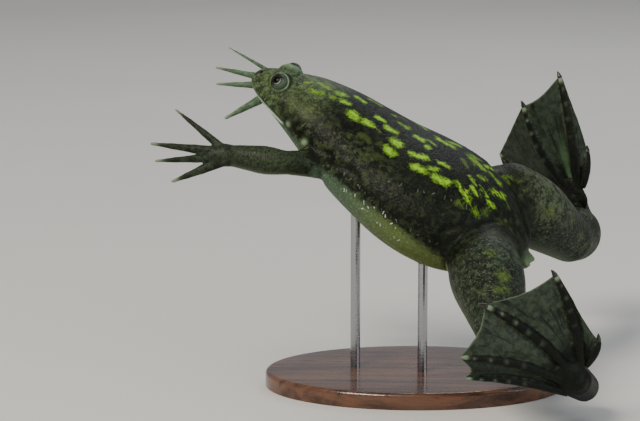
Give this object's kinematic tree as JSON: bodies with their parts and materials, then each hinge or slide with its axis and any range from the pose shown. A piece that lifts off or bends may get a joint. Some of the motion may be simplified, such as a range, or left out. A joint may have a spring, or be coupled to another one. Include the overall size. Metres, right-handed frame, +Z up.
{
  "type": "african clawed frog model",
  "caption": "Life-size swimming african clawed frog with spread webbed hind feet, held on a flat oval base by upright rods.",
  "frame": {"origin": "centre of the whole bounding box, at the underside of the stand's base", "axes": "+Z up; +X to the right in the picture's view, so the snout points towards -X and up; +Y away from the picture's camera"},
  "size_m": [0.142, 0.1502, 0.1014],
  "materials": {
    "skin_back": "wet dark olive skin of the back and head, with yellow-green blotches",
    "skin_jaw": "pale wet skin of the lower jaw",
    "skin_limb": "wet mottled skin of the legs and arms",
    "skin_hand": "greenish grey skin of the unwebbed hands",
    "skin_foot": "dark grey-green webs between nearly black toes",
    "eye": "glossy dark eye with a pale ring",
    "claw_horn": "black horn",
    "base_wood": "dark stained and waxed wood",
    "rod_steel": "brushed"
  },
  "bodies": {
    "root": {"torso": "skin_back", "head": "skin_back", "lower_jaw": "skin_jaw", "eye_left": "eye", "eye_right": "eye", "upper_arm_left": "skin_limb", "upper_arm_right": "skin_limb", "forearm_left": "skin_limb", "forearm_right": "skin_limb", "hand_left": "skin_hand", "hand_right": "skin_hand", "thigh_left": "skin_limb", "thigh_right": "skin_limb", "shank_left": "skin_limb", "shank_right": "skin_limb", "foot_left": "skin_foot", "foot_right": "skin_foot", "claw_left_1": "claw_horn", "claw_left_2": "claw_horn", "claw_left_3": "claw_horn", "claw_right_1": "claw_horn", "claw_right_2": "claw_horn", "claw_right_3": "claw_horn", "stand_base": "base_wood", "stand_rod_front": "rod_steel", "stand_rod_rear": "rod_steel", "tarsus_left": "skin_limb", "tarsus_right": "skin_limb"}
  },
  "joints": []
}
